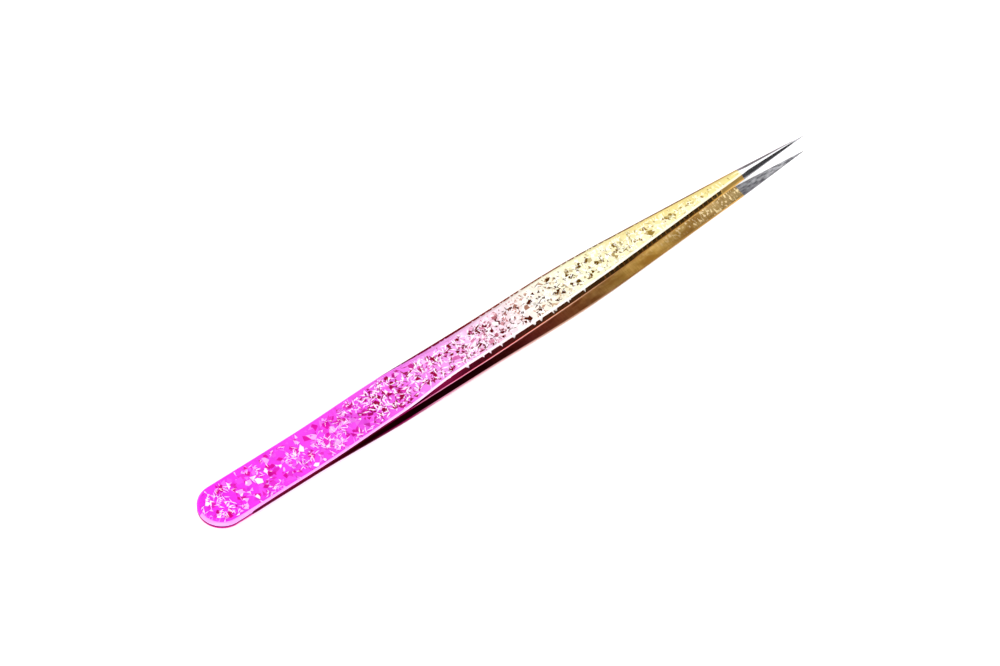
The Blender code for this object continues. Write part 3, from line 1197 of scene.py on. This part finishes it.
# Shares of painted half shade, painted shade and painted glint, read from the tone.
painted_half_shade = remap(tree, tone, HALF_SHADE_FROM, HALF_SHADE_FULL)
painted_shade = remap(tree, tone, HALF_SHADE_FULL, SHADE_FULL)
painted_glint = remap(tree, tone, GLINT_FROM, GLINT_FULL)
deeper = add(tree, "ShaderNodeMath", {"operation": "MULTIPLY"},
             i0=remap(tree, axes.outputs["Y"], -0.6 * MM, 1.8 * MM, 0.0, 0.75),
             i1=remap(tree, along, at(82), at(102)))
body_colour = blend_colours(tree, deeper.outputs[0], body_colour,
                            under(MATTE_BRIGHT, *DEEP_GOLD))
colour = blend_colours(tree, painted_half_shade, body_colour, half_shade_colour)
colour = blend_colours(tree, painted_shade, colour, shade_colour)
colour = blend_colours(tree, painted_glint, colour, highlight_colour)
# A painted highlight: on the upper foil's near side the rim is lightened towards the highlight
# colour, more so forward.
rim_highlight_share = add(tree, "ShaderNodeMath", {"operation": "MULTIPLY"}, i0=rim,
                i1=remap(tree, along, at(34), at(58), 0.40, 0.85))
colour = blend_colours(tree, rim_highlight_share.outputs[0], colour, highlight_colour)
tree.links.new(colour, shader.inputs["Base Color"])
print("blended,", len(tree.nodes), "nodes")

# %% [markdown]
# ### The foil's sheen
#
# Crushed foil is a satin metal: rough enough that a facet shows one even colour, and not a
# picture of the room. A fine grain varies the roughness and ruffles the normal a little.

# %% Roughness and grain of the foil
FOIL_GRAIN = 2200.0
FOIL_ROUGHNESS = (0.36, 0.50)
GRAIN_STRENGTH, GRAIN_DEPTH = 0.25, 0.02 * MM
grain = noise_value(tree, coords, FOIL_GRAIN, 3.0)
tree.links.new(remap(tree, grain, 0.3, 0.7, *FOIL_ROUGHNESS), shader.inputs["Roughness"])
wrinkle = add(tree, "ShaderNodeBump", {"Strength": GRAIN_STRENGTH, "Distance": GRAIN_DEPTH},
              Height=grain)
tree.links.new(wrinkle.outputs[0], shader.inputs["Normal"])
for piece in foils.values():
    piece.data.materials.append(foil_finish)
print(foil_finish.name, len(tree.nodes), "nodes")

# %% [markdown]
# ### Plated and bare steel
#
# The strip under the foil is plated with the same colours, only deeper, and shows on the bevels
# and inner faces; along the strip the plating is darkened further as painted shade on the bevels
# and sides. Its material begins with the marks that were put on the faces while the strip was
# extruded, so one material can finish the whole strip: a bevel, an inner face and a corner with
# its painted highlight each find their own colour in it.

# %% Plating on the bevels, darkened with painted shade
EDGE_TINT = (0.50, 0.28, 0.30, 1.0)
strip_finish, tree, shader = new_material("plated_strip")
coords, along, axes = along_strip(tree)
shader.inputs["Specular Tint"].default_value = EDGE_TINT
inner = add(tree, "ShaderNodeAttribute", {"attribute_name": "inner"}).outputs["Fac"]
top = add(tree, "ShaderNodeAttribute", {"attribute_name": "top"}).outputs["Fac"]
# The plated colour, deepened, and darkened further along the strip as painted shade on the bevels
# and sides.
plating_and_shade = colours_along(tree, along, 1.0, (
    (6, (94, 20, 58)), (20, (88, 14, 44)), (32, (60, 8, 26)), (41, (104, 12, 52)),
    (50, (150, 20, 78)), (58, (150, 32, 60)), (66, (172, 64, 62)), (74, (178, 102, 66)),
    (82, (166, 106, 58)), (90, (114, 78, 36)), (112, (122, 88, 42)), (116, (190, 152, 82))))
print("plating begins with", len(tree.nodes), "nodes")

# %% [markdown]
# ### Worn inner faces, with painted shade and highlights
#
# The inner faces rub against what they hold. Broad patches are worn to a paler gold or stained
# darker, and fine striations run across the strip from grinding. Both the worn and the stained
# colours darken towards the heel as painted shade between the arms, and near the points small
# bright flashes are painted highlights. Each is a noise at its own scale, stretched the way it was
# made.

# %% Worn and stained plating, with painted shade and highlights
PATCH_SCALE, STRIATION_SCALE, FLASH_SCALE = 420.0, 1500.0, 2100.0
FLASH_HIGHLIGHT = (250, 236, 190)
# Both ramps hold the colours of wear and stain, darker towards the heel as painted shade between
# the arms.
worn_and_shaded = colours_along(tree, along, 1.0, (
    (40, (90, 8, 36)), (60, (116, 30, 40)), (70, (184, 108, 104)), (80, (196, 152, 112)),
    (90, (224, 204, 146)), (100, (236, 210, 136)), (110, (190, 160, 102)),
    (119, (188, 164, 114))))
stained_and_shaded = colours_along(tree, along, 1.0, (
    (40, (72, 6, 28)), (60, (98, 22, 32)), (70, (150, 80, 70)), (82, (164, 114, 76)),
    (92, (182, 154, 96)), (100, (196, 162, 90)), (110, (150, 116, 62)),
    (119, (156, 124, 70))))
patches = noise_value(tree, coords, PATCH_SCALE, 3.0, (0.6, 1.3, 1.0))
striations = noise_value(tree, coords, STRIATION_SCALE, 2.0, (2.0, 0.25, 1.0))
mottle = blend_colours(tree, remap(tree, patches, 0.40, 0.60), stained_and_shaded, worn_and_shaded)
mottle = blend_colours(tree, remap(tree, striations, 0.35, 0.7, 0.0, 0.4), mottle, stained_and_shaded)
# Small bright flashes near the points: painted highlights on the inner face.
flashes = noise_value(tree, coords, FLASH_SCALE, 4.0, (1.0, 0.6, 1.0))
flash = add(tree, "ShaderNodeMath", {"operation": "MULTIPLY"},
            i0=remap(tree, flashes, 0.52, 0.60), i1=remap(tree, along, at(95), at(114)))
flash = add(tree, "ShaderNodeMath", {"operation": "MULTIPLY"}, i0=flash.outputs[0],
            i1=remap(tree, axes.outputs["Y"], -1.9 * MM, -1.2 * MM))
mottle = blend_colours(tree, flash.outputs[0], mottle, srgb(*FLASH_HIGHLIGHT))
print("worn faces,", len(tree.nodes), "nodes")

# %% Corners with a painted highlight
# A paler ramp on the corner faces, forward of the grip: a painted highlight along the edge.
edge_highlight = colours_along(tree, along, 1.0, (
    (6, (94, 20, 58)), (20, (88, 14, 44)), (34, (66, 10, 32)), (43, (150, 30, 90)),
    (50, (216, 140, 172)), (62, (220, 166, 172)), (78, (206, 166, 144)), (92, (150, 112, 68)),
    (119, (206, 168, 96))))
corner = add(tree, "ShaderNodeAttribute", {"attribute_name": "corner"}).outputs["Fac"]
plated = blend_colours(tree, inner, plating_and_shade, mottle)
plated = blend_colours(tree, corner, plated, edge_highlight)
print("rubbed corners,", len(tree.nodes), "nodes")

# %% [markdown]
# ### The bare needle
#
# The needle is left bare: polished on its crest and ground with a fine grain on its flanks and
# inner face. Its colours are lit and shaded copies of one steel: the crest is painted near white
# as a highlight, the flanks dark as shade, and the grey inner face is darker towards the foil's
# end. A mask along the strip, almost a step, parts steel from plating at the foil's end. It is a
# remap and not a second material, so that the edge between the two stays where the foil ends
# whatever the mesh does.

# %% Bare ground steel
BARE_FROM, BARE_FULL = 120.42, 120.52
NEEDLE_GRAIN = 1700.0
bare_mask = remap(tree, along, at(BARE_FROM), at(BARE_FULL))
fine = noise_value(tree, coords, NEEDLE_GRAIN, 4.0, (0.5, 1.5, 1.0))
ground = ramp(tree, fine, [(0.36, (0.10, 0.10, 0.11, 1.0)), (0.64, (0.46, 0.46, 0.48, 1.0))])
# The flanks: the same steel painted dark as shade.
shaded_flank = ramp(tree, fine, [(0.3, (0.22, 0.22, 0.23, 1.0)), (0.7, (0.27, 0.27, 0.29, 1.0))])
# The inner face is darker towards the foil's end.
ground = blend_colours(tree, remap(tree, along, at(120), at(128), 0.6, 0.0), ground,
                       (0.06, 0.06, 0.07, 1.0))
bare = blend_colours(tree, inner, shaded_flank, ground)
# The crest: the same steel painted near white as a highlight.
bare = blend_colours(tree, top, bare, (0.88, 0.88, 0.90, 1.0))
tree.links.new(blend_colours(tree, bare_mask, plated, bare), shader.inputs["Base Color"])
print("bare from %.1f mm," % BARE_FROM, len(tree.nodes), "nodes")

# %% [markdown]
# ### Polish
#
# The bevels are polished, the inner faces are brushed, and the last few millimetres before
# the needle are duller, where the grinding wheel touched down. All of that is roughness, so
# one chain of Math nodes adds it up for one socket. The grain's relief is given to the inner
# faces only, because the bevels are too smooth to show any.

# %% Roughness and grain of the strip
BRUSHED = (0.13, 0.24)
INNER_ROUGHER, LAST_BLOCK_ROUGHER, NEEDLE_POLISH = 0.22, 0.24, 0.55
LAST_BLOCK_FROM, LAST_BLOCK_FULL = 115.2, 115.6
GRAIN_RELIEF = 0.01 * MM
brushed = remap(tree, striations, 0.3, 0.7, *BRUSHED)
last_block = remap(tree, along, at(LAST_BLOCK_FROM), at(LAST_BLOCK_FULL), 0.0,
                   LAST_BLOCK_ROUGHER)
matte = add(tree, "ShaderNodeMath", {"operation": "MULTIPLY_ADD"}, i0=inner, i2=brushed)
matte.inputs[1].default_value = INNER_ROUGHER
rough = add(tree, "ShaderNodeMath", {"operation": "ADD"}, i0=matte.outputs[0], i1=last_block)
polish = add(tree, "ShaderNodeMath", {"operation": "MULTIPLY"}, i0=rough.outputs[0],
             i1=remap(tree, bare_mask, 0.0, 1.0, 1.0, NEEDLE_POLISH))
tree.links.new(polish.outputs[0], shader.inputs["Roughness"])
grain_bump = add(tree, "ShaderNodeBump", {"Distance": GRAIN_RELIEF}, Height=fine,
                 Strength=remap(tree, inner, 0.0, 1.0, 0.01, 0.15))
tree.links.new(grain_bump.outputs[0], shader.inputs["Normal"])
for piece in strips.values():
    piece.data.materials.append(strip_finish)
print(strip_finish.name, len(tree.nodes), "nodes")

# %% [markdown]
# ### Weld nuggets
#
# The two spot welds are fused metal inside the heel. They are never seen on the whole tool,
# so the working model's discs stay as they are and only get a finish: grey steel, blotched
# by the heat. Modelling them again would add nothing that can be looked at.

# %% Weld finish
weld_finish, tree, shader = new_material("weld_steel")
coords, along, axes = along_strip(tree)
blotch = noise_value(tree, coords, 900.0)
steel_colour = ramp(tree, blotch, [(0.3, (0.28, 0.27, 0.26, 1.0)), (0.7, (0.52, 0.51, 0.50, 1.0))])
tree.links.new(steel_colour, shader.inputs["Base Color"])
tree.links.new(remap(tree, blotch, 0.3, 0.7, 0.35, 0.6), shader.inputs["Roughness"])
for node_name in ("spot_weld_rear", "spot_weld_front"):
    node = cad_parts[node_name]
    node.data.materials.clear()
    node.data.materials.append(weld_finish)
print(weld_finish.name, len(tree.nodes), "nodes")

# %% [markdown]
# ## The new pieces in place of the working model's
#
# The heel is the fixed part and each arm flexes about a line just ahead of it. The pieces run
# right across that line, as the real strips do. Here the working model's heels, arms and their
# coats are hidden, and the new pieces stand in their place.

# %% Hide the nodes each piece stands for
for arm in ("upper", "lower"):
    strip, foil = strips[arm + "_strip"], foils[arm + "_foil"]
    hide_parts(arm + "_heel", arm + "_arm")
    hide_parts(arm + "_heel_coat", arm + "_arm_coat")
    for piece in (strip, foil):
        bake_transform(piece)

# %% [markdown]
# ## The floor
#
# The tool lies on a plain pale table. A single large plane is enough, because the view looks
# down on it and never sees its edge. It is matte, so the metal leaves a soft shade on it and
# no reflection, and it lies at the lowest point of the tool, foil included.

# %% Floor
FLOOR_SIZE, FLOOR_GREY, FLOOR_ROUGHNESS, FLOOR_SPECULAR = 8.0, 0.93, 0.9, 0.1
bpy.ops.mesh.primitive_plane_add(size=FLOOR_SIZE)
floor = bpy.context.object
floor.name = "floor"
floor.location.z = min(0.0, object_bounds()[0].z)
floor_finish, tree, shader = new_material("pale_floor")
shader.inputs["Metallic"].default_value = 0.0
shader.inputs["Roughness"].default_value = FLOOR_ROUGHNESS
shader.inputs["Specular IOR Level"].default_value = FLOOR_SPECULAR
shader.inputs["Base Color"].default_value = grey(FLOOR_GREY)
floor.data.materials.append(floor_finish)
print("floor at %.2f mm" % (floor.location.z / MM))

# %% [markdown]
# ## The surround
#
# Polished metal shows nothing but its surroundings, so the room is the lighting. Lamps would
# give small hard highlights; a world shader gives any soft shape. It is a broad bright sky
# with a shaded patch on either side, which darkens the bevels, low bright patches in front
# and behind, which draw the light line along the near edge, and a few small hot patches that
# make the facets sparkle. A patch is a direction and two angles: the angle between the
# direction and each ray, by a dot product, says how far into the patch the ray points.

# %% Patches in the surround
world = bpy.data.worlds.new("studio")
bpy.context.scene.world = world
world.use_nodes = True
tree = world.node_tree
background = tree.nodes["Background"]
direction = tree.nodes.new("ShaderNodeTexCoord").outputs["Generated"]
height = add(tree, "ShaderNodeSeparateXYZ", None, i0=direction).outputs["Z"]


def patch(centre, inner_angle, outer_angle):
    """1 inside inner_angle of a direction, falling to 0 at outer_angle, in degrees."""
    aimed = add(tree, "ShaderNodeVectorMath", {"operation": "DOT_PRODUCT"}, i0=direction)
    aimed.inputs[1].default_value = Vector(centre).normalized()
    low, high = math.cos(math.radians(outer_angle)), math.cos(math.radians(inner_angle))
    node = add(tree, "ShaderNodeMapRange",
               {"interpolation_type": "SMOOTHSTEP", "From Min": low, "From Max": high},
               i0=aimed.outputs["Value"])
    return node.outputs[0]


def bearing(azimuth, elevation):
    """Unit vector from a compass angle off +X and an elevation, in degrees."""
    a, e = math.radians(azimuth), math.radians(elevation)
    return math.cos(a) * math.cos(e), math.sin(a) * math.cos(e), math.sin(e)


print("straight up is (%.0f, %.0f, %.0f)" % bearing(0, 90))

# %% Paint the surround
SHADE, FAR_SHADE, HOT = 0.10, 0.06, 14.0
HOT_INNER, HOT_OUTER = 2.5, 5
sky = ramp(tree, height, [(0.0, grey(0.75)), (0.22, grey(0.55)), (0.40, grey(0.65)),
                          (0.60, grey(BRIGHT)), (0.92, grey(BRIGHT)), (1.0, grey(0.9))])
for centre, inside, outside, level in (
        (bearing(-60, 56), 20, 32, SHADE),
        (bearing(120, 56), 18, 30, FAR_SHADE),
        (bearing(-67, 24), 10, 18, 3.0),
        (bearing(-130, 32), 14, 26, 3.0),
        (bearing(160, 22), 12, 22, 2.4),
        (bearing(113, 24), 10, 18, 1.6),
        (bearing(20, 40), HOT_INNER, HOT_OUTER, HOT),
        (bearing(85, 48), HOT_INNER, HOT_OUTER, HOT),
        (bearing(200, 42), HOT_INNER, HOT_OUTER, HOT),
        (bearing(265, 46), HOT_INNER, HOT_OUTER, HOT),
        (bearing(52, 75), HOT_INNER, HOT_OUTER, HOT)):
    sky = blend_colours(tree, patch(centre, inside, outside), sky, grey(level))
tree.links.new(sky, background.inputs["Color"])
print("surround of", len(tree.nodes), "nodes")

# %% [markdown]
# ## A sun for the floor
#
# The surround is set for the metal and leaves the floor a little grey. A wide soft sun from
# the viewer's side lifts the floor to white. Polished surfaces are kept from seeing it, so
# it changes nothing in them.

# %% Sun for the floor
SUN_STRENGTH, SUN_WIDTH = 2.7, 30.0
sun_data = bpy.data.lights.new("floor_sun", "SUN")
sun_data.energy = SUN_STRENGTH
sun_data.angle = math.radians(SUN_WIDTH)
sun = bpy.data.objects.new("floor_sun", sun_data)
sun.rotation_mode = "QUATERNION"
sun.rotation_quaternion = camera.rotation_quaternion
sun.visible_glossy = False
bpy.context.scene.collection.objects.link(sun)
print("sun %.0f degrees wide" % SUN_WIDTH)
